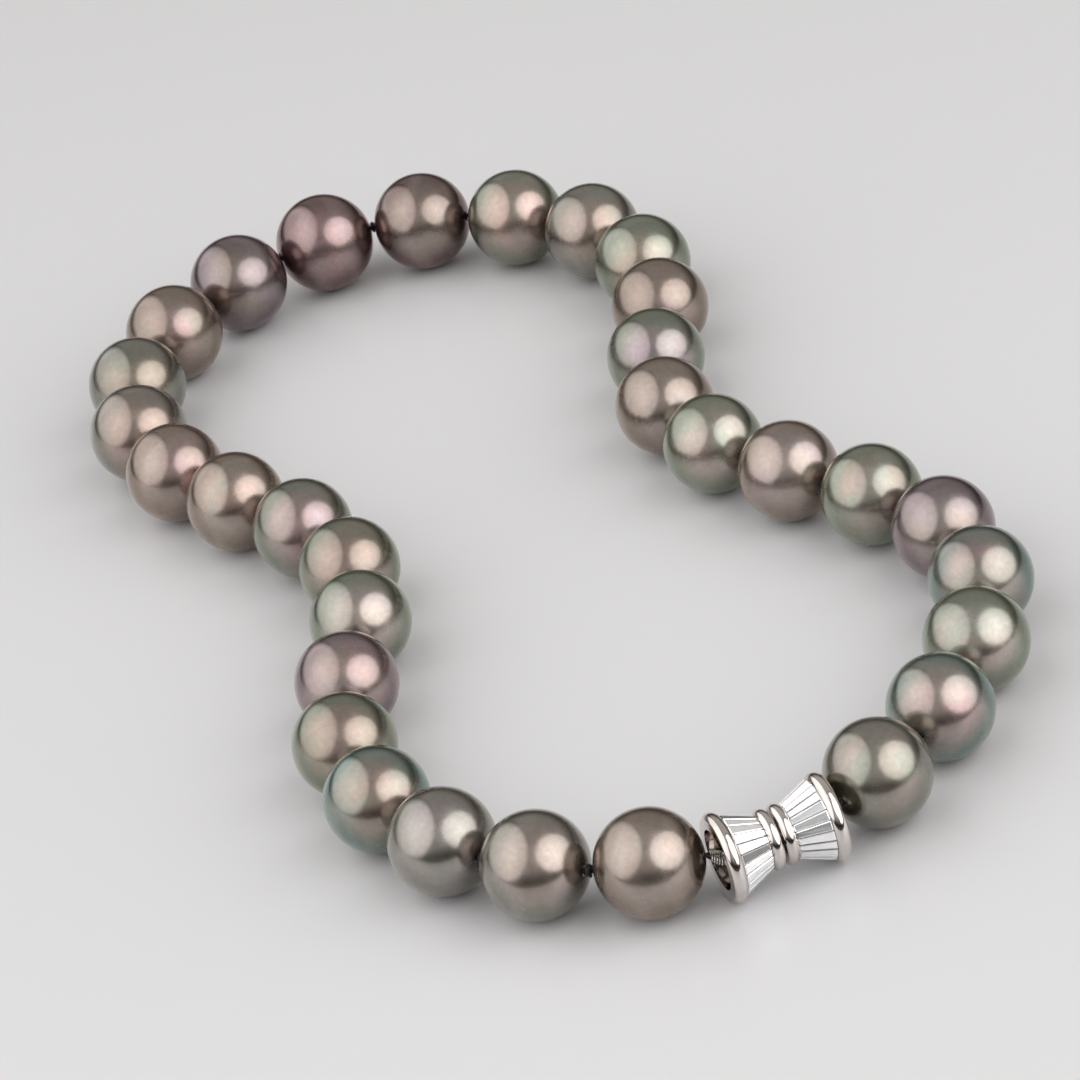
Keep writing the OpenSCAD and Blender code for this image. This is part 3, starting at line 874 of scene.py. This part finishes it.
# %% [markdown]
# Table and light
#
# The necklace lies on a pale, slightly glossy table, lit by two soft boxes: a wide dim one from the left and
# a rounder, brighter one from the right. The pearls mirror the whole room, so the dark places count as much
# as the lights: the room is dark level with the table and grey overhead. The table has no near edge: just in
# front of the necklace it is painted dark for mirrored rays only, a painted dark reflection as if it ended
# there.

# %% Table
TABLE_TOP = (0.60, 0.602, 0.612, 1.0)
TABLE_HALF = 1.6
NEAR_DARK, NEAR_PALE = -0.15, -0.12


def make_table():
    """A square top. Mirrored rays that land in front of the necklace find it dark, a painted dark reflection
    as if it ended there.
    """
    size = TABLE_HALF
    mesh = bpy.data.meshes.new("table")
    mesh.from_pydata([(-size, -size, 0), (size, -size, 0), (size, size, 0), (-size, size, 0)], [],
                     [(0, 1, 2, 3)])
    material = bpy.data.materials.new("table")
    material.use_nodes = True
    tree = material.node_tree
    tree.nodes.clear()
    out = tree.nodes.new("ShaderNodeOutputMaterial")
    pale = tree.nodes.new("ShaderNodeBsdfPrincipled")
    pale.inputs["Base Color"].default_value = TABLE_TOP
    pale.inputs["Roughness"].default_value = 0.3
    # Painted dark reflection: a dark surface that only mirrored rays see, in front of the necklace.
    dark = tree.nodes.new("ShaderNodeBsdfDiffuse")
    dark.inputs["Color"].default_value = (0.06, 0.05, 0.045, 1.0)
    place = tree.nodes.new("ShaderNodeSeparateXYZ")
    tree.links.new(tree.nodes.new("ShaderNodeTexCoord").outputs["Object"], place.inputs[0])
    painted_dark_reflection_mask = remap(tree, place.outputs["Y"], NEAR_DARK, NEAR_PALE, 1.0, 0.0)
    mirrored = tree.nodes.new("ShaderNodeLightPath").outputs["Is Glossy Ray"]
    choose = tree.nodes.new("ShaderNodeMixShader")
    tree.links.new(math(tree, "MULTIPLY", painted_dark_reflection_mask, mirrored), choose.inputs[0])
    tree.links.new(pale.outputs[0], choose.inputs[1])
    tree.links.new(dark.outputs[0], choose.inputs[2])
    tree.links.new(choose.outputs[0], out.inputs["Surface"])
    mesh.materials.append(material)
    table = bpy.data.objects.new("table", mesh)
    bpy.context.scene.collection.objects.link(table)
    return table


table = make_table()
print("table:", [round(v, 2) for v in table.dimensions])

# %% Lights
RINGS, SPOKES = 15, 48
PANEL_DISTANCE = 1.2
HOT = 1.15
PANEL_COLOUR = (1.0, 0.985, 0.975, 1.0)
FADE_FROM = 0.8


def soft_box(name, centre, half, radiance):
    """A curved light panel. Take an ellipse of points (x right, y up) on the front of a mirror ball that
    faces the camera, s = 0 at its middle to 1 at its edge. The panel is where the ball mirrors the camera's
    rays to, at a distance: ray - 2 (ray . normal) normal. It is brightest in the middle and fades near its
    edge, as the diffuser of a soft box does."""
    right, up, back = np.array(CAMERA_RIGHT), np.array(CAMERA_UP), np.array(CAMERA_BACK)
    s = np.linspace(0.02, 1, RINGS)[:, None]
    a = np.linspace(0, 2 * np.pi, SPOKES, endpoint=False)[None, :]
    x, y = centre[0] + half[0] * s * np.cos(a), centre[1] + half[1] * s * np.sin(a)
    z = np.sqrt(1 - x * x - y * y)
    normal = x[..., None] * right + y[..., None] * up + z[..., None] * back
    mirrored = -back + 2 * (normal @ back)[..., None] * normal
    mesh = bpy.data.meshes.new(name)
    faces = grid_faces(RINGS, SPOKES, False).tolist() + [list(range(SPOKES))]
    mesh.from_pydata((PANEL_DISTANCE * mirrored).reshape(-1, 3).tolist(), [], faces)
    layer = mesh.attributes.new("from_middle", "FLOAT", "POINT")
    layer.data.foreach_set("value", np.broadcast_to(s, x.shape).astype(np.float32).ravel())
    material = bpy.data.materials.new(name)
    material.use_nodes = True
    tree = material.node_tree
    tree.nodes.clear()
    shine = tree.nodes.new("ShaderNodeEmission")
    from_middle = tree.nodes.new("ShaderNodeAttribute")
    from_middle.attribute_name = "from_middle"
    falloff = remap(tree, from_middle.outputs["Fac"], 0.0, 0.85, radiance * HOT, radiance * (2 - HOT))
    edge = remap(tree, from_middle.outputs["Fac"], FADE_FROM, 1.0, 1.0, 0.0)
    tree.links.new(math(tree, "MULTIPLY", falloff, edge), shine.inputs["Strength"])
    shine.inputs["Color"].default_value = PANEL_COLOUR
    out = tree.nodes.new("ShaderNodeOutputMaterial")
    tree.links.new(shine.outputs[0], out.inputs["Surface"])
    mesh.materials.append(material)
    panel = bpy.data.objects.new(name, mesh)
    bpy.context.scene.collection.objects.link(panel)
    panel.visible_camera = False


soft_box("left_box", (-0.47, 0.22), (0.38, 0.54), 1.75)
soft_box("right_box", (0.30, 0.23), (0.34, 0.35), 2.6)


def room_light():
    """The room: dark and brownish near the horizon, grey overhead."""
    world = bpy.data.worlds.new("room")
    world.use_nodes = True
    tree = world.node_tree
    tree.nodes.clear()
    out = tree.nodes.new("ShaderNodeOutputWorld")
    glow = tree.nodes.new("ShaderNodeBackground")
    split = tree.nodes.new("ShaderNodeSeparateXYZ")
    tree.links.new(tree.nodes.new("ShaderNodeTexCoord").outputs["Generated"], split.inputs[0])
    tree.links.new(remap(tree, split.outputs["Z"], 0.06, 0.5, 0.03, 0.5), glow.inputs["Strength"])
    hue = mix_colours(tree, remap(tree, split.outputs["Z"], 0.0, 0.6, 0.0, 1.0), (1.0, 0.86, 0.76, 1.0),
                      (1.0, 0.98, 0.95, 1.0))
    tree.links.new(hue, glow.inputs["Color"])
    tree.links.new(glow.outputs[0], out.inputs["Surface"])
    bpy.context.scene.world = world


room_light()
